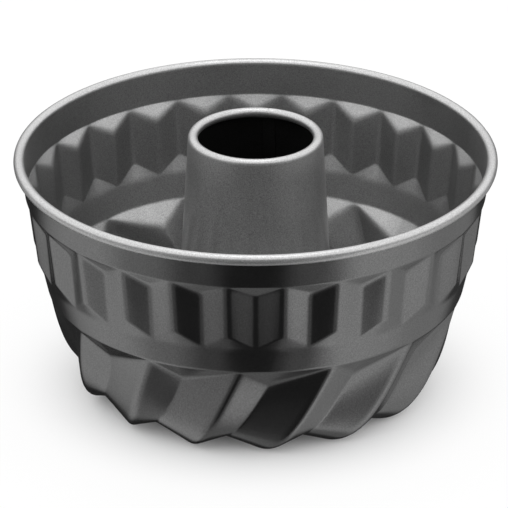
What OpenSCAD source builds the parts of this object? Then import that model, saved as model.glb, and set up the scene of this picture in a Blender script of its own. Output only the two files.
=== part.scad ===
// Small fluted tube pan for ring cakes: a deep-drawn sheet shell with upright
// flutes under its rolled rim and swirling flutes round its foot, a steel wire
// inside the rim, and a rolled tube that is seamed into the floor.
// The table is z = 0, the tube's axis is the z axis, and the front is -y.

/* [Rim] */
// Outside diameter over the rolled rim
rim_d = 160; // [145:1:200]
// Height of the rolled rim's top above the table
pan_h = 82.3; // [77:0.1:95]
// Thickness of the shell's sheet
sheet = 0.6; // [0.4:0.05:0.8]
// Diameter of the wire inside the rolled rim
wire_d = 2.2; // [1.6:0.1:3.4]
// Gap between the two ends of the wire
wire_joint = 0.8; // [0.3:0.1:4]
// Angle of the wire's joint from the front
wire_joint_angle = 105; // [0:5:355]
// Clearance between pieces that seat on each other
seat_gap = 0.1; // [0.05:0.01:0.2]
// Angle of the rim's roll that stays open beside the wall
roll_open = 60; // [50:1:110]

/* [Upright flutes] */
// Number of upright flutes
flute_n = 26; // [18:1:34]
// Height of the plain band between the rim and the ridges
band_h = 11.2; // [7:0.1:14]
// How far the plain band leans in over its height
band_in = 0.6; // [0.2:0.1:2]
// Height of a ridge
ridge_h = 18.3; // [12:0.1:21]
// How far a ridge leans in over its height
ridge_in = 2.3; // [1:0.1:4]
// How far a groove lies inside the ridges at its top
flute_depth = 3.3; // [1.5:0.1:4]
// Height of the sloping ledge over each groove
flute_ledge = 4.2; // [2:0.1:6]
// Height of the sloping ledge under each ridge
ridge_ledge = 5.6; // [3:0.1:7]
// How far the ledge under a ridge goes in
ridge_ledge_in = 2.6; // [0.8:0.1:3.5]

/* [Belt] */
// Height of the plain belt between the two rows of flutes
belt_h = 9.9; // [6:0.1:12]
// How far the belt leans in over its height
belt_in = 2.2; // [1:0.1:4.5]

/* [Swirling flutes] */
// Number of swirling flutes
swirl_n = 14; // [11:1:17]
// Angle from the front to the crest that starts beside it
swirl_start = -4.2; // [-12:0.1:0]
// Angle from a crest to the groove that follows it at the belt
swirl_lead = 8.3; // [6:0.1:11]
// Angle that a crest turns between the belt and the table
crest_turn = 20.2; // [12:0.1:26]
// Angle that a groove turns between the belt and the floor
groove_turn = 17.4; // [10:0.1:22]
// How far inside the belt's lower edge a groove starts
swirl_depth = 4.9; // [3:0.1:6.5]
// Height of the sloping ledge over each swirling groove
swirl_ledge = 6.1; // [4:0.1:8]
// How far the crests aim inside the belt's lower edge at the table
crest_in = 6.8; // [4:0.1:9]
// How straight the crests fall before they round to the table, as a share
crest_straight = 0.53; // [0.3:0.01:0.65]
// Radial width of the round between the crests' wall and their feet
crest_round = 11; // [7:0.1:14]
// How far a groove aims inside the belt's lower edge half way down
groove_waist = 11; // [8:0.1:12.5]
// Height above the table that a groove aims at half way down
groove_waist_h = 14; // [11:0.1:17]

/* [Floor] */
// Height of the grooves and of the seam above the table
floor_rise = 5; // [4:0.1:7]
// Radial width of the flat foot of each crest
foot_w = 5; // [3:0.1:7]
// Angle that the flutes turn on from the feet to the seam
floor_turn = 14; // [0:0.5:20]
// Radial width of the plain ring round the tube
seam_ring = 3; // [2:0.1:5]

/* [Edges] */
// Half width of the blunt edge along a ridge or crest
ridge_blunt = 0.8; // [0.4:0.1:1.2]
// Half width of the blunt edge along a groove
groove_blunt = 0.5; // [0.3:0.1:0.8]
// Height of the bend between a plain band and a row of flutes
edge_bend = 0.6; // [0.3:0.1:0.9]

/* [Tube] */
// Height of the tube's top above the table
tube_h = 89.4; // [84:0.1:105]
// Outside diameter of the tube at its top
tube_top_d = 44.7; // [38:0.1:48]
// Outside diameter of the tube at its foot
tube_foot_d = 53.5; // [48:0.1:58]
// Thickness of the tube's sheet
tube_sheet = 0.6; // [0.4:0.05:0.8]
// Diameter of the tube's rolled top edge
tube_bead_d = 3.3; // [1.8:0.1:4]
// Angle of the tube's roll that stays open beside the tube
tube_roll_open = 70; // [60:1:120]
// Width of the lap where the tube's sheet meets itself
lap_w = 5; // [3:0.1:8]
// Angle of the lap from the front
lap_angle = 168; // [90:1:270]
// Height of the straight foot of the tube
foot_h = 9; // [7:0.1:12]
// Height of the seam's hook above the table
hook_rise = 0.8; // [0.4:0.1:1.5]

/* [Hidden] */
$fn = 120;

// Colours
shell_grey = [0.25, 0.25, 0.26];
wire_grey = [0.62, 0.63, 0.65];
tube_grey = [0.29, 0.29, 0.30];

// Rolled rim: the wire, the roll round it and the wall that it hangs from
bead_r = wire_d / 2 + seat_gap + sheet;
bead_c = rim_d / 2 - bead_r;
rim_z = pan_h - bead_r;
wall_r = rim_d / 2 - 2 * bead_r + sheet;

// The rolled rim and the fluted shell share a tongue in the plain band
joint_drop = 0.7;
joint_z = rim_z - bead_r - joint_drop;
tongue_h = 1;
tongue_t = sheet / 4;

// Heights of the wall's zones
ridge_top_z = rim_z - band_h;
ridge_foot_z = ridge_top_z - ridge_h;
belt_top_z = ridge_foot_z - ridge_ledge;
belt_foot_z = belt_top_z - belt_h;

// Radii of the outer skin at those heights
ridge_top_r = wall_r - band_in;
ridge_foot_r = ridge_top_r - ridge_in;
belt_top_r = ridge_foot_r - ridge_ledge_in;
belt_foot_r = belt_top_r - belt_in;
crest_corner_r = belt_foot_r - crest_in;
foot_r = crest_corner_r - crest_round;

// Seam between the floor and the tube
tube_top_r = tube_top_d / 2;
tube_foot_r = tube_foot_d / 2;
collar_r = tube_foot_r + seat_gap + sheet;
ring_r = collar_r + seam_ring;
hook_r = sheet / 2 + seat_gap;
hook_z = hook_r + tube_sheet + hook_rise;
hook_c = tube_foot_r + hook_r;
collar_foot_z = hook_z + seat_gap;
hook_top_z = floor_rise - edge_bend - seat_gap;

// Steps down the swirl and across the floor
wall_steps = 9;
rise_steps = 3;

// Facet columns between a ridge and a groove
upright_mids = 1;
wide_mids = 2;
narrow_mids = 1;

// A point from its radius, its angle from the front and its height
function place(r, a, z) = [r * sin(a), -r * cos(a), z];
function mix(p, q, t) = p * (1 - t) + q * t;

// Cubic curve with four control points
function curve(p, t) =
    p[0] * pow(1 - t, 3) + p[1] * 3 * t * pow(1 - t, 2) +
    p[2] * 3 * t * t * (1 - t) + p[3] * pow(t, 3);

// Plain band: its outer radius at a height
function band_r(z) = wall_r - band_in * (rim_z - z) / band_h;

// Outer section through a ridge and a groove of the upright row, top to bottom
band_start = [band_r(joint_z - tongue_h), joint_z - tongue_h];
band_end = [band_r(ridge_top_z + edge_bend), ridge_top_z + edge_bend];
belt_start = [belt_top_r - belt_in * edge_bend / belt_h, belt_top_z - edge_bend];
ridge_line = [
    band_start,
    band_end,
    [ridge_top_r, ridge_top_z],
    [ridge_foot_r, ridge_foot_z],
    belt_start
];
upright_groove_line = [
    band_start,
    band_end,
    [ridge_top_r - flute_depth, ridge_top_z - flute_ledge],
    [belt_top_r, belt_top_z],
    belt_start
];

// Outer section through a crest and a groove of the swirling row
belt_end = [belt_foot_r + belt_in * edge_bend / belt_h, belt_foot_z + edge_bend];
crest_wall = [belt_foot_r, belt_foot_z];
crest_corner = [crest_corner_r, 0];
crest_curve = [
    crest_wall,
    mix(crest_wall, crest_corner, crest_straight),
    crest_corner,
    [foot_r, 0]
];
groove_curve = [
    [belt_foot_r - swirl_depth, belt_foot_z - swirl_ledge],
    [belt_foot_r - groove_waist, groove_waist_h],
    [crest_corner_r, floor_rise],
    [foot_r, floor_rise]
];
foot_end_r = foot_r - foot_w;
function rise_r(s) = foot_end_r + (ring_r - foot_end_r) * s;
function rise_z(s) = floor_rise * (1 - cos(180 * s)) / 2;
seam_line = [
    [collar_r + edge_bend, floor_rise],
    [collar_r, floor_rise - edge_bend],
    [collar_r, collar_foot_z]
];
crest_line = concat(
    [belt_end],
    [for (i = [0:wall_steps]) curve(crest_curve, i / wall_steps)],
    [[foot_end_r, 0]],
    [for (i = [1:rise_steps]) [rise_r(i / rise_steps), rise_z(i / rise_steps)]],
    seam_line
);
swirl_groove_line = concat(
    [belt_end],
    [for (i = [0:wall_steps]) curve(groove_curve, i / wall_steps)],
    [[foot_end_r, floor_rise]],
    [for (i = [1:rise_steps]) [rise_r(i / rise_steps), floor_rise]],
    seam_line
);

// How far the flutes have turned at each point of the two swirling sections
function floor_share(r) = (foot_r - max(r, ring_r)) / (foot_r - ring_r);
function turned(i, turn) =
    i == 0 ? 0
    : i <= wall_steps + 1 ? turn * (i - 1) / wall_steps
    : turn + floor_turn * floor_share(crest_line[i][0]);
swirl_period = 360 / swirl_n;
function groove_angle(i) = swirl_start + swirl_lead - turned(i, groove_turn);
function crest_angle(i) = swirl_start + swirl_period - turned(i, crest_turn);

// Section line moved towards the inside of the sheet by a thickness
function unit(v) = v / norm(v);
function inward(p, q) = let (d = unit(q - p)) [d[1], -d[0]];
function inset(line, t) = [
    for (i = [0:len(line) - 1])
        let (
            last = len(line) - 1,
            a = inward(line[max(i - 1, 0)], line[max(i, 1)]),
            b = inward(line[min(i, last - 1)], line[min(i + 1, last)])
        )
        line[i] + (a + b) * t / (1 + a * b)
];

// One facet from p to q, each [radius, angle, height], with points between.
// A round facet follows the circle, a flat one is a straight chord.
function facet(p, q, mids, round_facet) = [
    for (i = [0:mids + 1])
        let (t = i / (mids + 1), m = mix(p, q, t))
        round_facet ? place(m[0], m[1], m[2])
        : mix(place(p[0], p[1], p[2]), place(q[0], q[1], q[2]), t)
];

// Half width of a blunt edge as an angle at a radius
function blunt(width, r) = width / r * 180 / PI;

// One ring of the skin: n grooves [radius, height] with a ridge after each
function flute_ring(n, groove, ridge, groove_a, ridge_a, mids_up, mids_down) =
    let (
        period = 360 / n,
        plain = norm(groove - ridge) < 0.001,
        dg = blunt(groove_blunt, groove[0]),
        dr = blunt(ridge_blunt, ridge[0])
    )
    [
        for (k = [0:n - 1])
            let (
                ga = groove_a + k * period,
                ra = ridge_a + k * period,
                rise = facet(
                    [groove[0], ga + dg, groove[1]],
                    [ridge[0], ra - dr, ridge[1]], mids_up, plain),
                fall = facet(
                    [ridge[0], ra + dr, ridge[1]],
                    [groove[0], ga + period - dg, groove[1]], mids_down, plain)
            )
            each concat(rise, fall)
    ];

function upright_ring(groove, ridge) =
    flute_ring(flute_n, groove, ridge, 0, 180 / flute_n, upright_mids, upright_mids);
function swirl_ring(i, groove, ridge) =
    flute_ring(swirl_n, groove, ridge, groove_angle(i), crest_angle(i),
        wide_mids, narrow_mids);

// Rings of one skin from the rim to the seam
function skin(t) =
    let (
        ridge = inset(ridge_line, t),
        groove = inset(upright_groove_line, t),
        crest = inset(crest_line, t),
        swirl = inset(swirl_groove_line, t)
    )
    concat(
        [for (i = [0:len(ridge) - 1]) upright_ring(groove[i], ridge[i])],
        [for (i = [0:len(crest) - 1]) swirl_ring(i, swirl[i], crest[i])]
    );

// The tongue that reaches up inside the wall of the rolled rim
function tongue_ring(t) =
    let (z = joint_z + tongue_h, p = [band_r(z) - t, z])
    upright_ring(p, p);

function reversed(v) = [for (i = [len(v) - 1:-1:0]) v[i]];
shell_rings = concat(
    [tongue_ring(tongue_t)],
    skin(0),
    reversed(skin(sheet)),
    [tongue_ring(sheet - tongue_t)]
);

// First point number of each ring
function sums(v, i = 0, total = 0) =
    i > len(v) ? [] : concat([total], sums(v, i + 1, total + (i < len(v) ? v[i] : 0)));
ring_sizes = [for (r = shell_rings) len(r)];
ring_starts = sums(ring_sizes);

// Two rings with as many points: a strip of split four-sided faces
function strip(a, b, n) = [
    for (j = [0:n - 1])
        let (k = (j + 1) % n)
        each [[a + j, a + k, b + k], [a + j, b + k, b + j]]
];

// Two rings with different numbers of points: the nearer next point is taken
function bearing(p) = (atan2(p[0], -p[1]) + 720) % 360;
function ahead(p, from) = (bearing(p) - from + 720) % 360;
function first_index(ring, from, i = 1, best = 0) =
    i == len(ring) ? best
    : first_index(ring, from, i + 1, ahead(ring[i], from) < ahead(ring[best], from) ? i : best);
function zip_step(s, pa, pb) =
    s[0] < len(pa) - 1 && (s[1] == len(pb) - 1 || pa[s[0] + 1] <= pb[s[1] + 1])
    ? [s[0] + 1, s[1]] : [s[0], s[1] + 1];
function zip(a, b, ring_a, ring_b) =
    let (
        na = len(ring_a),
        nb = len(ring_b),
        from = bearing(ring_a[0]),
        shift = first_index(ring_b, from),
        pa = [for (i = [0:na]) i == na ? 360 : ahead(ring_a[i], from)],
        rb = [for (j = [0:nb - 1]) ahead(ring_b[(j + shift) % nb], from)],
        pb = concat(rb, [rb[0] + 360])
    )
    [
        for (s = [0, 0]; s[0] < na || s[1] < nb; s = zip_step(s, pa, pb))
            let (
                next = zip_step(s, pa, pb),
                i = a + s[0] % na,
                j = b + (s[1] + shift) % nb
            )
            next[0] > s[0] ? [i, a + next[0] % na, j]
            : [i, b + (next[1] + shift) % nb, j]
    ];

shell_faces = [
    for (i = [0:len(shell_rings) - 1])
        let (k = (i + 1) % len(shell_rings))
        each ring_sizes[i] == ring_sizes[k]
        ? strip(ring_starts[i], ring_starts[k], ring_sizes[i])
        : zip(ring_starts[i], ring_starts[k], shell_rings[i], shell_rings[k])
];

// Fluted wall and floor in one skin
module fluted_wall() {
    polyhedron(points = [for (r = shell_rings) each r], faces = shell_faces);
}

// Part of a circle's plane between two angles
module sector(r, from, to) {
    polygon([
        [0, 0],
        [r * cos(from), r * sin(from)],
        [r * cos((from + to) / 2), r * sin((from + to) / 2)],
        [r * cos(to), r * sin(to)]
    ]);
}

// Section of a sheet rolled round a centre, open between two angles
module roll(r, t, open_from, open_to) {
    difference() {
        circle(r = r);
        circle(r = r - t);
        sector(3 * r, open_from, open_to);
    }
}

// Rolled rim with the top of the plain band that it grows from
module rolled_rim() {
    rotate_extrude() {
        translate([bead_c, rim_z]) roll(bead_r, sheet, 180, 180 + roll_open);
        polygon([
            [wall_r, rim_z],
            [band_r(joint_z), joint_z],
            [band_r(joint_z) - sheet, joint_z],
            [wall_r - sheet, rim_z]
        ]);
    }
}

module pan_shell() {
    color(shell_grey) {
        rolled_rim();
        fluted_wall();
    }
}

// Steel wire inside the rolled rim, open at its butt joint
module rim_wire() {
    gap_a = wire_joint / bead_c * 180 / PI;
    color(wire_grey)
        translate([0, 0, rim_z])
            rotate([0, 0, wire_joint_angle - 90 + gap_a / 2])
                rotate_extrude(angle = 360 - gap_a)
                    translate([bead_c, 0]) circle(d = wire_d);
}

// Tube: cone, straight foot, hook round the floor's collar, rolled top edge
tube_bead_r = tube_bead_d / 2;
tube_bead_c = tube_top_r - tube_bead_r;
tube_bead_z = tube_h - tube_bead_r;
module tube_section() {
    polygon([
        [tube_top_r, tube_bead_z],
        [tube_foot_r, foot_h],
        [tube_foot_r, hook_z],
        [tube_foot_r - tube_sheet, hook_z],
        [tube_foot_r - tube_sheet, foot_h],
        [tube_top_r - tube_sheet, tube_bead_z]
    ]);
    translate([tube_bead_c, tube_bead_z]) roll(tube_bead_r, tube_sheet, 360 - tube_roll_open, 360);
    translate([hook_c, hook_z]) difference() {
        circle(r = hook_r + tube_sheet);
        circle(r = hook_r);
        translate([-2 * hook_r - 2 * tube_sheet, 0])
            square([4 * (hook_r + tube_sheet), 2 * (hook_r + tube_sheet)]);
    }
    translate([hook_c + hook_r, hook_z]) square([tube_sheet, hook_top_z - hook_z]);
}

// Lap of the tube's sheet along the inside, from the roll to the foot
module lap_strip() {
    lap_a = lap_w / tube_foot_r * 180 / PI;
    lap_top_z = tube_bead_z - tube_bead_r;
    lap_top_r = tube_top_r
        + (tube_foot_r - tube_top_r) * (tube_bead_z - lap_top_z) / (tube_bead_z - foot_h);
    rotate([0, 0, lap_angle - 90 - lap_a / 2])
        rotate_extrude(angle = lap_a)
            polygon([
                [lap_top_r - tube_sheet / 2, lap_top_z],
                [tube_foot_r - tube_sheet / 2, foot_h],
                [tube_foot_r - tube_sheet / 2, hook_z],
                [tube_foot_r - 2 * tube_sheet, hook_z],
                [tube_foot_r - 2 * tube_sheet, foot_h],
                [lap_top_r - 2 * tube_sheet, lap_top_z]
            ]);
}

module centre_tube() {
    color(tube_grey) {
        rotate_extrude() tube_section();
        lap_strip();
    }
}

pan_shell();
rim_wire();
centre_tube();
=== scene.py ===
"""Looks of the fluted tube pan: a coated sheet shell, its rolled tube and the studio round it."""

import bpy
import numpy as np
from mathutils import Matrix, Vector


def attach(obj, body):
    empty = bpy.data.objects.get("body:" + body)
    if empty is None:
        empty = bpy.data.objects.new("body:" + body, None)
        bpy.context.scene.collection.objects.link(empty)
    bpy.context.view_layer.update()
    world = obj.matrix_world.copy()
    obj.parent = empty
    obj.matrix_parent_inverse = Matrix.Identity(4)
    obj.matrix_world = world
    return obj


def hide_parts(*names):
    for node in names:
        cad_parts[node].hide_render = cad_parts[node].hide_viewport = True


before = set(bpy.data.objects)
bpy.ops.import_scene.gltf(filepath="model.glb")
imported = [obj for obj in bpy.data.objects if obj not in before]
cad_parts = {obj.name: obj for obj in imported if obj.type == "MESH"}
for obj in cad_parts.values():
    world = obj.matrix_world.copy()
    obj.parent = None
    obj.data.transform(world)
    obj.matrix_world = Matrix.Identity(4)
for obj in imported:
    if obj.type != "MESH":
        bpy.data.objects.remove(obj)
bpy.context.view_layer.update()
MM = 0.001

# Sizes in millimetres and angles in degrees from the part's source, its diameters as radii
RIM_R = 80.0
PAN_H = 82.3
SHEET = 0.6
WIRE_R = 1.1
WIRE_JOINT_ANGLE = 105.0
SEAT_GAP = 0.1
ROLL_OPEN = 60.0
BEAD_R = WIRE_R + SEAT_GAP + SHEET
BEAD_C = RIM_R - BEAD_R
RIM_Z = PAN_H - BEAD_R
WALL_R = RIM_R - 2 * BEAD_R + SHEET

FLUTES = 26
BAND_H = 11.2
BAND_IN = 0.6
RIDGE_H = 18.3
RIDGE_IN = 2.3
FLUTE_DEPTH = 3.3
FLUTE_LEDGE = 4.2
RIDGE_LEDGE = 5.6
RIDGE_LEDGE_IN = 2.6
BELT_H = 9.9
BELT_IN = 2.2

SWIRLS = 14
SWIRL_START = -4.2
SWIRL_LEAD = 8.3
CREST_TURN = 20.2
GROOVE_TURN = 17.4
SWIRL_DEPTH = 4.9
SWIRL_LEDGE = 6.1
CREST_IN = 6.8
CREST_STRAIGHT = 0.53
CREST_BEND = 11.0
GROOVE_WAIST = 11.0
GROOVE_WAIST_H = 14.0
FLOOR_RISE = 5.0
FLOOR_TURN = 14.0
FOOT_W = 5.0
SEAM_RING = 3.0
EDGE_BEND = 0.6

TUBE_H = 89.4
TUBE_TOP_R = 22.35
TUBE_FOOT_R = 26.75
TUBE_BEAD_R = 1.65
TUBE_ROLL_OPEN = 70.0
TUBE_STRAIGHT = 9.0
HOOK_RISE = 0.8
LAP_ANGLE = 168.0
LAP_W = 5.0

# Points of the wall's section, as radius and height, and the rings of the floor
RIDGE_TOP = (WALL_R - BAND_IN, RIM_Z - BAND_H)
RIDGE_FOOT = (RIDGE_TOP[0] - RIDGE_IN, RIDGE_TOP[1] - RIDGE_H)
GROOVE_TOP = (RIDGE_TOP[0] - FLUTE_DEPTH, RIDGE_TOP[1] - FLUTE_LEDGE)
BELT_TOP = (RIDGE_FOOT[0] - RIDGE_LEDGE_IN, RIDGE_FOOT[1] - RIDGE_LEDGE)
BELT_FOOT = (BELT_TOP[0] - BELT_IN, BELT_TOP[1] - BELT_H)
CREST_CORNER_R = BELT_FOOT[0] - CREST_IN
FOOT_R = CREST_CORNER_R - CREST_BEND
FOOT_END_R = FOOT_R - FOOT_W
COLLAR_R = TUBE_FOOT_R + SEAT_GAP + SHEET
RING_R = COLLAR_R + SEAM_RING
HOOK_R = SHEET / 2 + SEAT_GAP
HOOK_Z = HOOK_R + SHEET + HOOK_RISE

# How far the crest lines run below the table, so that their rounds rest on it
FOOT_DROP = 0.39

# Depths and half widths in degrees of the dents at the wire's joint and at the tube's lap
WIRE_DENT = 0.12
WIRE_DENT_HALF = 1.2
LAP_DENT = 0.16
LAP_DENT_HALF = 0.9

# Columns round the shell: both rows of flutes divide it without a rest
COLUMNS = 364
# Columns from a groove to its ridge, and from there to the next groove
UPRIGHT_COLUMNS = (7, 7)
SWIRL_COLUMNS = (15, 11)
# Places along half a groove's round and half a ridge's round that have a column
GROOVE_PLACES = (0.5, 0.75, 1.0)
RIDGE_PLACES = (0.0, 0.25)
RIDGE_MIDDLE = 0.5

# Steps round the rolled rim, down the swirling flutes and up the floor's rise
ROLL_STEPS = 20
WALL_STEPS = 12
RISE_STEPS = 6

# Steps round the tube's hook, under it, up the cone, and round the roll's outside and inside
HOOK_STEPS = 8
UNDER_STEPS = 10
CONE_STEPS = 11
CONE_START = 0.05
ROLL_OUT_STEPS = 20
ROLL_IN_STEPS = 12

# Half height of the soft bend from the tube's straight foot to its cone, and how far it leans in
TUBE_BEND = 1.2
TUBE_BEND_IN = (0.0, 0.03, 0.12)

# Degrees between the tube's columns, and the places of those close together at the lap
TUBE_COLUMN_STEP = 1.5
LAP_COLUMNS = np.array([-0.4, -0.15, 0.0, 0.15, 0.4])
# Degrees over which the sheet steps in at the lap's edge, and how far off it the step starts
LAP_STEP = 0.35
LAP_STEP_OFF = 0.2

# Half lengths of the rounded edges
RIDGE_ROUND = 2.0
GROOVE_ROUND = 1.4
CREST_ROUND = 1.9
VALLEY_ROUND = 0.6
# Band's end, flute tops, flute feet, belt's start, belt's end, swirl tops
WALL_ROUNDS = [0.5, 1.9, 0.7, 1.3, 0.8, 1.9]
CURVE_ROUND = 10.0
COLLAR_ROUNDS = [0.6, 0.4]

# Largest share of the way to the next ring that a round may take
ROUND_SHARE = 0.42

# Steps over each rounded edge, and over each ring of the smooth curves
EDGE_STEPS = 4
CURVE_STEPS = 2


def place(r, angle, z):
    """A point from its radius, its angle from the front in degrees and its height."""
    a = np.radians(angle)
    return np.stack(np.broadcast_arrays(r * np.sin(a), -r * np.cos(a), z), axis=-1)


def angle_of(points):
    """Angles from the front in degrees."""
    return np.degrees(np.arctan2(points[:, 0], -points[:, 1]))


def curved(start, at, end, t):
    """A point on the curve from start to end that bends towards a corner, t from 0 to 1 along it."""
    return start * (1 - t) ** 2 + at * 2 * t * (1 - t) + end * t ** 2


def corner(before, at, after, reach, t):
    """A point on the round that replaces a corner, t from 0 to 1 along it."""
    into = before - at
    out = after - at
    start = at + into * min(1.0, reach / np.linalg.norm(into))
    end = at + out * min(1.0, reach / np.linalg.norm(out))
    return curved(start, at, end, t)


def ring(count, groove, ridge, groove_a, ridge_a, columns, rounds):
    """One level of the fluted wall, in COLUMNS points that start at a groove's middle.

    columns is how many points lie from a groove to its ridge, and from the ridge to the next groove.
    rounds are the half lengths of the rounds of the grooves and of the ridges.
    """
    period = 360 / count
    plain = np.hypot(groove[0] - ridge[0], groove[1] - ridge[1]) < 0.001
    rise, fall = columns
    lead = ridge_a - groove_a
    points = []
    for k in range(count):
        ga = groove_a + k * period
        ra = ga + lead
        valley = place(groove[0], ga, groove[1])
        top = place(ridge[0], ra, ridge[1])
        valley_next = place(groove[0], ga + period, groove[1])
        top_before = place(ridge[0], ra - period, ridge[1])
        top_after = place(ridge[0], ra + period, ridge[1])
        for low, high, other, beyond, steps, up in (
            (valley, top, top_before, valley_next, rise, True),
            (valley_next, top, top_after, valley, fall, False),
        ):
            half = [corner(other, low, high, rounds[0], t) for t in GROOVE_PLACES]
            crown = [corner(low, high, beyond, rounds[1], t) for t in RIDGE_PLACES]
            flat = steps - len(half) - len(crown) + 1
            middle = [
                half[-1] + (crown[0] - half[-1]) * i / flat
                for i in range(1, flat)
            ]
            side = half + middle + crown
            if up:
                points.extend(side)
            else:
                points.append(corner(low, high, beyond, rounds[1], RIDGE_MIDDLE))
                points.extend(side[:0:-1])
    points = np.array(points)
    if plain:
        points = place(groove[0], angle_of(points), groove[1])
    return points


def bezier(p, t):
    """A point on the curve with four control points, t from 0 to 1 along it."""
    p = [np.array(q) for q in p]
    return p[0] * (1 - t) ** 3 + p[1] * 3 * t * (1 - t) ** 2 + p[2] * 3 * t * t * (1 - t) + p[3] * t ** 3


def band_r(z):
    """Radius of the plain band at a height."""
    return WALL_R - BAND_IN * (RIM_Z - z) / BAND_H


def upright_rings():
    """Control rings of the plain band and the upright flutes, top to bottom."""
    band_end = RIDGE_TOP[1] + EDGE_BEND
    start = (band_r(RIM_Z - BEAD_R), RIM_Z - BEAD_R)
    end = (band_r(band_end), band_end)
    belt = (BELT_TOP[0] - BELT_IN * EDGE_BEND / BELT_H, BELT_TOP[1] - EDGE_BEND)
    ridge_line = [start, end, RIDGE_TOP, RIDGE_FOOT, belt]
    groove_line = [start, end, GROOVE_TOP, BELT_TOP, belt]
    rounds = (GROOVE_ROUND, RIDGE_ROUND)
    return [
        ring(FLUTES, g, r, 0.0, 180 / FLUTES, UPRIGHT_COLUMNS, rounds)
        for g, r in zip(groove_line, ridge_line)
    ]


def swirl_rings():
    """Control rings of the belt's foot, the swirling flutes, the floor and the collar."""
    wall = BELT_FOOT
    foot_corner = (CREST_CORNER_R, -FOOT_DROP)
    straight = tuple(np.array(wall) * (1 - CREST_STRAIGHT) + np.array(foot_corner) * CREST_STRAIGHT)
    crest = (wall, straight, foot_corner, (FOOT_R, -FOOT_DROP))
    groove = (
        (wall[0] - SWIRL_DEPTH, wall[1] - SWIRL_LEDGE),
        (wall[0] - GROOVE_WAIST, GROOVE_WAIST_H),
        (CREST_CORNER_R, FLOOR_RISE),
        (FOOT_R, FLOOR_RISE),
    )
    belt_end = (wall[0] + BELT_IN * EDGE_BEND / BELT_H, wall[1] + EDGE_BEND)
    # Each level's crest, its groove and its share of the turn down the wall
    lines = [(belt_end, belt_end, 0.0)]
    for i in range(WALL_STEPS + 1):
        t = i / WALL_STEPS
        lines.append((bezier(crest, t), bezier(groove, t), t))
    lines.append(((FOOT_END_R, -FOOT_DROP), (FOOT_END_R, FLOOR_RISE), 1.0))
    for i in range(1, RISE_STEPS + 1):
        s = i / RISE_STEPS
        r = FOOT_END_R + (RING_R - FOOT_END_R) * s
        z = -FOOT_DROP + (FLOOR_RISE + FOOT_DROP) * (1 - np.cos(np.pi * s)) / 2
        lines.append(((r, z), (r, FLOOR_RISE), 1.0))
    for p in (
        (COLLAR_R + EDGE_BEND, FLOOR_RISE),
        (COLLAR_R, FLOOR_RISE - EDGE_BEND),
        (COLLAR_R, HOOK_Z + SEAT_GAP),
    ):
        lines.append((p, p, 1.0))
    rounds = (VALLEY_ROUND, CREST_ROUND)
    rings = []
    for crest_p, groove_p, down in lines:
        floor_share = 0.0
        if down == 1.0:
            floor_share = (FOOT_R - max(crest_p[0], RING_R)) / (FOOT_R - RING_R)
        on_floor = FLOOR_TURN * floor_share
        ga = SWIRL_START + SWIRL_LEAD - GROOVE_TURN * down - on_floor
        ca = SWIRL_START + 360 / SWIRLS - CREST_TURN * down - on_floor
        rings.append(ring(SWIRLS, groove_p, crest_p, ga, ca, SWIRL_COLUMNS, rounds))
    # Every ring starts at the point that lies nearest to the front on the first one
    first = rings[0]
    shift = int(np.argmin(np.hypot(first[:, 0], first[:, 1] + wall[0])))
    return [np.roll(r, -shift, axis=0) for r in rings]


def roll_rings():
    """Rings of the wire side of the rolled rim, from its open edge up to the wall."""
    r = BEAD_R - SHEET
    angles = np.linspace(180 + ROLL_OPEN, 180 + 360, ROLL_STEPS + 1)
    column_angles = np.arange(COLUMNS) * 360 / COLUMNS
    return [
        place(BEAD_C + r * np.cos(np.radians(a)), column_angles, RIM_Z + r * np.sin(np.radians(a)))
        for a in angles
    ]


def fillet_rows(rings, reaches):
    """Rows of points down the wall, with each control ring rounded into its neighbours.

    reaches are the half lengths of the rounds, one for each ring between the first and the last.
    """
    rings = np.array(rings)
    rows = [rings[0]]
    for i, reach in zip(range(1, len(rings) - 1), reaches):
        into = rings[i - 1] - rings[i]
        out = rings[i + 1] - rings[i]
        share_in = np.minimum(reach / np.linalg.norm(into, axis=1), ROUND_SHARE)[:, None]
        share_out = np.minimum(reach / np.linalg.norm(out, axis=1), ROUND_SHARE)[:, None]
        start = rings[i] + into * share_in
        end = rings[i] + out * share_out
        steps = CURVE_STEPS if reach == CURVE_ROUND else EDGE_STEPS
        rows += [curved(start, rings[i], end, k / steps) for k in range(steps + 1)]
    rows.append(rings[-1])
    return rows


def grid_normals(rows):
    """Unit normals of a closed grid of rows, which point out of the pan."""
    p = np.array(rows)
    along = np.roll(p, -1, axis=1) - np.roll(p, 1, axis=1)
    down = np.gradient(p, axis=0)
    n = np.cross(down, along)
    length = np.linalg.norm(n, axis=2, keepdims=True)
    return n / np.maximum(length, 1e-9)


def mesh_from(name, rows, materials):
    """A mesh from rows of equally many points round the axis, whose last row joins the first."""
    p = np.array(rows)
    n_rows, n_cols, _ = p.shape
    i = np.arange(n_rows)[:, None]
    j = np.arange(n_cols)[None, :]
    a = i * n_cols + j
    b = i * n_cols + (j + 1) % n_cols
    c = ((i + 1) % n_rows) * n_cols + (j + 1) % n_cols
    d = ((i + 1) % n_rows) * n_cols + j
    faces = np.stack(np.broadcast_arrays(a, b, c, d), axis=-1).reshape(-1, 4)
    mesh = bpy.data.meshes.new(name)
    mesh.from_pydata((p.reshape(-1, 3) * MM).tolist(), [], faces[:, ::-1].tolist())
    mesh.update()
    mesh.polygons.foreach_set("use_smooth", [True] * len(mesh.polygons))
    obj = bpy.data.objects.new(name, mesh)
    bpy.context.scene.collection.objects.link(obj)
    for material in materials:
        mesh.materials.append(material)
    return obj


def dent_at(angle, centre, half):
    """A smooth bump of height 1 round one angle, in degrees."""
    off = np.abs((angle - centre + 180) % 360 - 180)
    return np.clip(1 - off / half, 0, 1) ** 2


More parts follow.
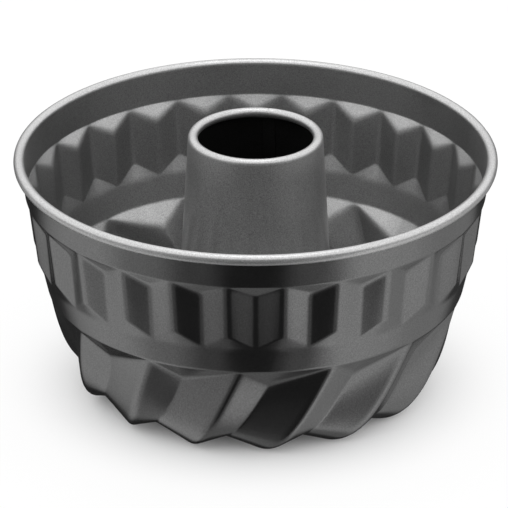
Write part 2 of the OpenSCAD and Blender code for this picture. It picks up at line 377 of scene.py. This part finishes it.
def make_shell(outer_coat, inner_coat_painted_light, bead_coat_painted_light):
    """The whole sheet: rolled rim, flutes, floor and collar, with its real thickness."""
    roll = roll_rings()
    rings = upright_rings() + swirl_rings()
    curves = [CURVE_ROUND] * (len(rings) - 2 - len(WALL_ROUNDS) - len(COLLAR_ROUNDS))
    rows = roll + fillet_rows(rings, WALL_ROUNDS + curves + COLLAR_ROUNDS)[1:]
    outer = np.array(rows)
    inner = outer - grid_normals(rows) * SHEET
    dent = dent_at(angle_of(outer[0]), WIRE_JOINT_ANGLE, WIRE_DENT_HALF)
    bead = slice(0, len(roll))
    inner[bead] -= (inner[bead] - outer[bead]) / SHEET * WIRE_DENT * dent[None, :, None]
    coats = (outer_coat, inner_coat_painted_light, bead_coat_painted_light)
    shell = mesh_from("fluted_shell", np.concatenate([outer, inner[::-1]]), coats)
    # The inner coat, painted lighter for the light that falls into the pan, goes on over the roll's
    # first strips, and the rest of the roll is the bead, whose coat is painted paler still for the light
    # on it
    strips_on_roll = 3
    kinds = [0] * (len(rows) - 1)
    kinds += [1] * (len(rows) - len(roll) + strips_on_roll)
    kinds += [2] * (2 * len(rows) - len(kinds))
    shell.data.polygons.foreach_set("material_index", np.repeat(kinds, COLUMNS))
    return shell


def arc(centre, r, start, end, steps):
    """Points of an arc in the section plane."""
    a = np.radians(np.linspace(start, end, steps + 1))
    return [(centre[0] + r * np.cos(t), centre[1] + r * np.sin(t)) for t in a]


def tube_section():
    """The tube's section in five runs: cake side, roll's outside, roll's inside, bore side, hook."""
    bead = (TUBE_TOP_R - TUBE_BEAD_R, TUBE_H - TUBE_BEAD_R)
    hook = (TUBE_FOOT_R + HOOK_R, HOOK_Z)
    leg_r = hook[0] + HOOK_R
    leg_top = FLOOR_RISE - EDGE_BEND - SEAT_GAP
    roll_end = 360 - TUBE_ROLL_OPEN
    cake_side = arc(hook, HOOK_R, 360, 180, HOOK_STEPS)
    cake_side += [
        (TUBE_FOOT_R - lean, TUBE_STRAIGHT + way * TUBE_BEND)
        for way, lean in zip((-1, 0, 1), TUBE_BEND_IN)
    ]
    low = np.array([TUBE_FOOT_R, TUBE_STRAIGHT])
    high = np.array([TUBE_TOP_R, bead[1]])
    up_cone = np.linspace(CONE_START, 1, CONE_STEPS + 1)[:-1]
    cake_side += [tuple(low + (high - low) * t) for t in up_cone]
    roll_out = arc(bead, TUBE_BEAD_R, 0, roll_end, ROLL_OUT_STEPS)
    roll_in = arc(bead, TUBE_BEAD_R - SHEET, roll_end, 0, ROLL_IN_STEPS)
    bore_side = [(r - SHEET, z) for r, z in cake_side[:HOOK_STEPS:-1]]
    under = arc(hook, HOOK_R + SHEET, 180, 360, UNDER_STEPS)
    under += [(leg_r + SHEET, leg_top), (leg_r, leg_top)]
    return cake_side, roll_out, roll_in, bore_side, under


def make_tube(tube_coat_painted_light, bore_coat_painted_shade, bead_coat_painted_light):
    """The tube: cone, straight foot, hook round the floor's collar, rolled top and lap."""
    runs = tube_section()
    section = [p for run in runs for p in run]
    first_roll, first_roll_in, first_bore, last_bore = np.cumsum([len(run) for run in runs[:4]])
    bead = np.array([TUBE_TOP_R - TUBE_BEAD_R, TUBE_H - TUBE_BEAD_R])
    half_lap = np.degrees(LAP_W / 2 / TUBE_FOOT_R)
    columns = np.concatenate([
        np.arange(0, 360, TUBE_COLUMN_STEP),
        LAP_ANGLE - half_lap + LAP_COLUMNS,
        LAP_ANGLE + half_lap + LAP_COLUMNS,
        LAP_ANGLE + LAP_COLUMNS * 2,
    ])
    columns = np.unique(np.round(columns, 3))
    off_middle = np.abs(columns - LAP_ANGLE)
    on_lap = np.clip((half_lap + LAP_STEP_OFF - off_middle) / LAP_STEP, 0, 1)
    dent = dent_at(columns, LAP_ANGLE, LAP_DENT_HALF)
    rows = []
    for i, (r, z) in enumerate(section):
        radius = np.full(len(columns), r)
        height = np.full(len(columns), z)
        if first_bore <= i < last_bore:
            radius -= on_lap * SHEET
        if first_roll <= i < first_roll_in:
            out = (np.array([r, z]) - bead) / TUBE_BEAD_R
            radius -= dent * LAP_DENT * out[0]
            height -= dent * LAP_DENT * out[1]
        rows.append(place(radius, columns, height))
    tube = mesh_from("rolled_tube", rows, (tube_coat_painted_light, bore_coat_painted_shade, bead_coat_painted_light))
    # The cake side takes the tube's coat, painted lighter for the light on it. The roll's outside takes
    # the bead's paler coat, also painted light. The roll's inside, the bore side and the hook take the
    # bore's coat, painted darker for the shade inside the tube
    kinds = np.zeros(len(section), int)
    kinds[first_roll:] = 2
    kinds[first_roll_in:] = 1
    tube.data.polygons.foreach_set("material_index", np.repeat(kinds, len(columns)))
    # The section runs the other way round from the shell's rows
    tube.data.flip_normals()
    return tube


def ranged(tree, value, given, wanted, smooth=False):
    """A value carried from one range to another, held at the ends."""
    share = tree.nodes.new("ShaderNodeMapRange")
    share.interpolation_type = "SMOOTHSTEP" if smooth else "LINEAR"
    share.inputs["From Min"].default_value = given[0]
    share.inputs["From Max"].default_value = given[1]
    share.inputs["To Min"].default_value = wanted[0]
    share.inputs["To Max"].default_value = wanted[1]
    tree.links.new(value, share.inputs["Value"])
    return share.outputs["Result"]


def combined(tree, operation, first, second):
    """Two values put together by a math node."""
    node = tree.nodes.new("ShaderNodeMath")
    node.operation = operation
    for socket, value in zip(node.inputs, (first, second)):
        if isinstance(value, (int, float)):
            socket.default_value = value
        else:
            tree.links.new(value, socket)
    return node.outputs[0]


def blended(tree, share, first, second):
    """A value that goes from the first to the second as share goes from 0 to 1."""
    node = tree.nodes.new("ShaderNodeMix")
    tree.links.new(share, node.inputs["Factor"])
    for name, value in (("A", first), ("B", second)):
        if isinstance(value, float):
            node.inputs[name].default_value = value
        else:
            tree.links.new(value, node.inputs[name])
    return node.outputs["Result"]


def mixed(tree, share, first, second):
    """A shader that goes from the first to the second as share goes from 0 to 1."""
    mix = tree.nodes.new("ShaderNodeMixShader")
    tree.links.new(share, mix.inputs["Fac"])
    tree.links.new(first.outputs[0], mix.inputs[1])
    tree.links.new(second.outputs[0], mix.inputs[2])
    return mix


def noise(tree, scale, detail):
    """Noise over the object, with values round 0.5."""
    coords = tree.nodes.new("ShaderNodeTexCoord")
    node = tree.nodes.new("ShaderNodeTexNoise")
    node.inputs["Scale"].default_value = scale
    node.inputs["Detail"].default_value = detail
    tree.links.new(coords.outputs["Object"], node.inputs["Vector"])
    return node.outputs["Fac"]


def new_material(name):
    """A material with nodes, its node tree and its shader."""
    mat = bpy.data.materials.new(name)
    mat.use_nodes = True
    return mat, mat.node_tree, mat.node_tree.nodes["Principled BSDF"]


# Noise of the coat: the range it is read over, its sizes, and how far it moves the roughness
NOISE_SPAN = (0.3, 0.7)
GRAIN_SCALE = 2600
CLOUD_SCALE = 60
SATIN_SPREAD = 0.03
BUMP_STRENGTH = 0.12
BUMP_HEIGHT = 0.0001

# Noise of the wire, and the roughness it spans
WIRE_SCALE = 900
WIRE_ROUGHNESS = (0.25, 0.45)


def coat_material(name, tone, metallic, roughness, grain_share):
    """Dark grey satin non-stick coat, whose tone varies by a share in a fine metallic grain."""
    mat, tree, shader = new_material(name)
    shader.inputs["Metallic"].default_value = metallic
    grain = noise(tree, GRAIN_SCALE, 3)
    tint = ranged(tree, grain, NOISE_SPAN, (tone * (1 - grain_share), tone * (1 + grain_share)))
    colour = tree.nodes.new("ShaderNodeCombineColor")
    for channel in ("Red", "Green", "Blue"):
        tree.links.new(tint, colour.inputs[channel])
    tree.links.new(colour.outputs["Color"], shader.inputs["Base Color"])
    cloud = noise(tree, CLOUD_SCALE, 2)
    satin = ranged(tree, cloud, NOISE_SPAN, (roughness - SATIN_SPREAD, roughness + SATIN_SPREAD))
    tree.links.new(satin, shader.inputs["Roughness"])
    bump = tree.nodes.new("ShaderNodeBump")
    bump.inputs["Strength"].default_value = BUMP_STRENGTH
    bump.inputs["Distance"].default_value = BUMP_HEIGHT
    tree.links.new(grain, bump.inputs["Height"])
    tree.links.new(bump.outputs["Normal"], shader.inputs["Normal"])
    return mat


def turn_finish(mat):
    """Fine rings round the tube, which draw its highlights out up and down."""
    shader = mat.node_tree.nodes["Principled BSDF"]
    shader.inputs["Anisotropic"].default_value = 0.8
    shader.inputs["Anisotropic Rotation"].default_value = 0.25


def steel_material():
    """Drawn steel wire, whose roughness varies in fine spots."""
    mat, tree, shader = new_material("drawn_wire")
    shader.inputs["Base Color"].default_value = (0.45, 0.45, 0.46, 1)
    shader.inputs["Metallic"].default_value = 1.0
    rough = ranged(tree, noise(tree, WIRE_SCALE, 2), (0, 1), WIRE_ROUGHNESS)
    tree.links.new(rough, shader.inputs["Roughness"])
    return mat


def shown_white(tree, plain_shader, white_share, white_kind, ray_kinds):
    """Mixes white into what some kinds of ray see, and leaves the light on things alone."""
    path = tree.nodes.new("ShaderNodeLightPath")
    seen = path.outputs[ray_kinds[0]]
    for kind in ray_kinds[1:]:
        seen = combined(tree, "MAXIMUM", seen, path.outputs[kind])
    white = tree.nodes.new(white_kind)
    white.inputs["Color"].default_value = (1, 1, 1, 1)
    white.inputs["Strength"].default_value = 1.0
    return mixed(tree, combined(tree, "MULTIPLY", seen, white_share), plain_shader, white)


# Brightness of the tent beside and below the pan, by the angle from the front in degrees
TENT = (
    (-180, 0.03),
    (-144, 0.03),
    (-127, 0.50),
    (-112, 0.72),
    (-86, 0.78),
    (-70, 0.47),
    (-52, 0.44),
    (-38, 0.15),
    (-25, 0.19),
    (-16, 0.04),
    (14, 0.04),
    (25, 0.26),
    (37, 0.17),
    (54, 0.88),
    (84, 0.82),
    (90, 0.78),
    (104, 0.58),
    (137, 0.42),
    (150, 0.05),
    (180, 0.03),
)

# Brightness of the tent at the horizon, by the same angle
HORIZON = (
    (-180, 0.10),
    (-145, 0.15),
    (-120, 0.42),
    (-60, 0.35),
    (-37, 0.30),
    (-17, 0.12),
    (17, 0.12),
    (40, 0.30),
    (60, 0.45),
    (120, 0.45),
    (145, 0.20),
    (180, 0.10),
)

# Height of the middle of the soft edge of the tent's bright roof, by the angle off the front
ROOF_EDGE = (
    (0, 0.67),
    (35, 0.54),
    (60, 0.34),
    (87, 0.26),
    (105, 0.24),
    (131, 0.18),
    (156, 0.2),
    (180, 0.3),
)
ROOF_SOFTNESS = 0.24
ROOF_LEVEL = 1.5

# Brightness straight below, and the heights over which it passes to the sides' and they to the
# horizon's, where -1 is straight down and 0 level
BELOW_LEVEL = 0.3
BELOW_SPAN = (-0.975, -0.935)
HORIZON_SPAN = (-0.25, 0.0)


def make_world(scene):
    """A tent that lights the pan: bright above and at its sides, dark before and behind it.

    Mirrored rays see the tent, and camera rays and rays that pass through see white.
    """
    world = bpy.data.worlds.new("studio")
    world.use_nodes = True
    scene.world = world
    tree = world.node_tree
    coords = tree.nodes.new("ShaderNodeTexCoord")
    way = tree.nodes.new("ShaderNodeSeparateXYZ")
    tree.links.new(coords.outputs["Generated"], way.inputs[0])
    height = way.outputs["Z"]
    ahead = combined(tree, "MULTIPLY", way.outputs["Y"], -1)
    angle = combined(tree, "ARCTAN2", way.outputs["X"], ahead)
    # One ramp round the pan holds three things: the sides, the roof's edge and the horizon
    around = tree.nodes.new("ShaderNodeValToRGB")
    ramp = around.color_ramp
    while len(ramp.elements) < len(TENT):
        ramp.elements.new(0.5)
    for element, (degrees, level) in zip(ramp.elements, TENT):
        element.position = 0.5 + degrees / 360
        edge = np.interp(abs(degrees), *zip(*ROOF_EDGE))
        horizon = np.interp(degrees, *zip(*HORIZON))
        element.color = (level, edge, horizon, 1)
    tree.links.new(ranged(tree, angle, (-np.pi, np.pi), (0, 1)), around.inputs["Fac"])
    parts = tree.nodes.new("ShaderNodeSeparateColor")
    tree.links.new(around.outputs["Color"], parts.inputs["Color"])
    steep = ranged(tree, height, BELOW_SPAN, (0, 1))
    sides = blended(tree, steep, BELOW_LEVEL, parts.outputs["Red"])
    low = ranged(tree, height, HORIZON_SPAN, (0, 1), True)
    sides = blended(tree, low, sides, parts.outputs["Blue"])
    over_edge = combined(tree, "SUBTRACT", height, parts.outputs["Green"])
    roof = ranged(tree, over_edge, (-ROOF_SOFTNESS, ROOF_SOFTNESS), (0, 1), True)
    level = blended(tree, roof, sides, ROOF_LEVEL)
    tent = tree.nodes["Background"]
    tent.inputs["Color"].default_value = (1, 1, 1, 1)
    tree.links.new(level, tent.inputs["Strength"])
    kinds = ("Is Camera Ray", "Is Transmission Ray")
    mix = shown_white(tree, tent, 1.0, "ShaderNodeBackground", kinds)
    tree.links.new(mix.outputs[0], tree.nodes["World Output"].inputs["Surface"])


# Metres: half the floor's side, and the distances from the middle over which it turns white
FLOOR_HALF = 3.0
WHITE_SPAN = (0.04, 0.09)
WHITE_MOST = 0.9


def clear_of_pan(tree):
    """A share that is nothing under the pan and grows to its most round it."""
    coords = tree.nodes.new("ShaderNodeTexCoord")
    reach = tree.nodes.new("ShaderNodeVectorMath")
    reach.operation = "LENGTH"
    tree.links.new(coords.outputs["Object"], reach.inputs[0])
    return ranged(tree, reach.outputs["Value"], WHITE_SPAN, (0.0, WHITE_MOST), True)


def clear_from_below(tree, shader):
    """Lets the floor's lower side through, so that the underside can be looked at."""
    side = tree.nodes.new("ShaderNodeNewGeometry")
    clear = tree.nodes.new("ShaderNodeBsdfTransparent")
    return mixed(tree, side.outputs["Backfacing"], shader, clear)


def make_floor(scene):
    """A white floor that keeps the pan's shadow, and which mirrored rays don't see."""
    mesh = bpy.data.meshes.new("floor")
    s = FLOOR_HALF
    mesh.from_pydata([(-s, -s, 0), (s, -s, 0), (s, s, 0), (-s, s, 0)], [], [(0, 1, 2, 3)])
    floor = bpy.data.objects.new("floor", mesh)
    scene.collection.objects.link(floor)
    mat, tree, shader = new_material("pale_floor")
    shader.inputs["Base Color"].default_value = (0.9, 0.9, 0.9, 1)
    shader.inputs["Roughness"].default_value = 0.9
    kinds = ("Is Camera Ray", "Is Glossy Ray", "Is Transmission Ray")
    mix = shown_white(tree, shader, clear_of_pan(tree), "ShaderNodeEmission", kinds)
    sided = clear_from_below(tree, mix)
    tree.links.new(sided.outputs[0], tree.nodes["Material Output"].inputs["Surface"])
    mesh.materials.append(mat)
    # The tent's lower half stands for the floor there
    floor.visible_glossy = False


# Metres: radius and height of the black card under the tube
CARD_R = 0.028
CARD_Z = 0.0004
CARD_SIDES = 48


def make_under_card(scene):
    """A black disc that keeps the light of the tent out of the tube's reflections from below: painted
    shade, seen only by mirrored rays, that stands for the shaded floor under the pan.
    """
    mesh = bpy.data.meshes.new("under_card")
    turns = [2 * np.pi * i / CARD_SIDES for i in range(CARD_SIDES)]
    rim = [(CARD_R * np.cos(t), CARD_R * np.sin(t), CARD_Z) for t in turns]
    mesh.from_pydata(rim, [], [tuple(range(CARD_SIDES))])
    card = bpy.data.objects.new("under_card", mesh)
    scene.collection.objects.link(card)
    # Only mirrored rays see the card, so it paints shade into the tube's reflections and casts none
    card.visible_camera = False
    card.visible_diffuse = False
    card.visible_shadow = False
    mat, _, shader = new_material("black_card_painted_shade")
    shader.inputs["Base Color"].default_value = (0.01, 0.01, 0.01, 1)
    shader.inputs["Roughness"].default_value = 1.0
    mesh.materials.append(mat)


# Metres: side and place of the soft box, the point it looks at, and the brightness of its face
LAMP_SIDE = 0.4
LAMP_AT = (0, 0.1, 0.9)
LAMP_TOWARDS = (0, 0, 0.05)
LAMP_RADIANCE = 1.4


def make_lamp(scene):
    """A square soft box over the pan."""
    data = bpy.data.lights.new("top_box", "AREA")
    data.shape = "RECTANGLE"
    data.size = LAMP_SIDE
    data.size_y = LAMP_SIDE
    data.energy = LAMP_RADIANCE * LAMP_SIDE * LAMP_SIDE * np.pi
    lamp = bpy.data.objects.new("top_box", data)
    scene.collection.objects.link(lamp)
    lamp.location = LAMP_AT
    aim = Vector(LAMP_TOWARDS) - Vector(LAMP_AT)
    lamp.rotation_euler = aim.to_track_quat("-Z", "Y").to_euler()


def make_studio():
    """The tent, the floor, the card under the tube and the soft box overhead."""
    scene = bpy.context.scene
    scene.view_settings.view_transform = "Standard"
    make_world(scene)
    make_floor(scene)
    make_under_card(scene)
    make_lamp(scene)


# The photograph's view: a long lens, 25.6 degrees above the table
LENS_MM = 376.9
SENSOR_MM = 36.0
CAMERA_AT = (-0.00051, -1.5992, 0.8108)
CAMERA_TILT = 64.42


def make_camera():
    """The camera at the place that was fitted to the photograph."""
    data = bpy.data.cameras.new("camera")
    data.sensor_width = SENSOR_MM
    data.lens = LENS_MM
    camera = bpy.data.objects.new("camera", data)
    bpy.context.scene.collection.objects.link(camera)
    camera.location = CAMERA_AT
    camera.rotation_euler = (np.radians(CAMERA_TILT), 0, 0)
    bpy.context.scene.camera = camera


# The pan has one coat, and the outer coat's tone is its own. The inner, bead and tube coats are paler
# copies of it, painted light for the light that falls on them. The bore coat is a darker copy, painted
# shade inside the tube
outer_coat = coat_material("outer_coat", tone=0.2, metallic=1.0, roughness=0.2, grain_share=0.2)
inner_coat_painted_light = coat_material("inner_coat_painted_light", tone=0.365, metallic=1.0, roughness=0.38, grain_share=0.26)
bead_coat_painted_light = coat_material("bead_coat_painted_light", tone=0.47, metallic=0.8, roughness=0.32, grain_share=0.24)
tube_coat_painted_light = coat_material("tube_coat_painted_light", tone=0.39, metallic=1.0, roughness=0.35, grain_share=0.3)
bore_coat_painted_shade = coat_material("bore_coat_painted_shade", tone=0.1, metallic=0.95, roughness=0.3, grain_share=0.2)
wire_steel = steel_material()
turn_finish(tube_coat_painted_light)

shell = make_shell(outer_coat, inner_coat_painted_light, bead_coat_painted_light)
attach(shell, "root")
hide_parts("pan_shell")

tube = make_tube(tube_coat_painted_light, bore_coat_painted_shade, bead_coat_painted_light)
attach(tube, "root")
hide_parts("centre_tube")

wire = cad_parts["rim_wire"]
wire.data.materials.clear()
wire.data.materials.append(wire_steel)

make_studio()
make_camera()
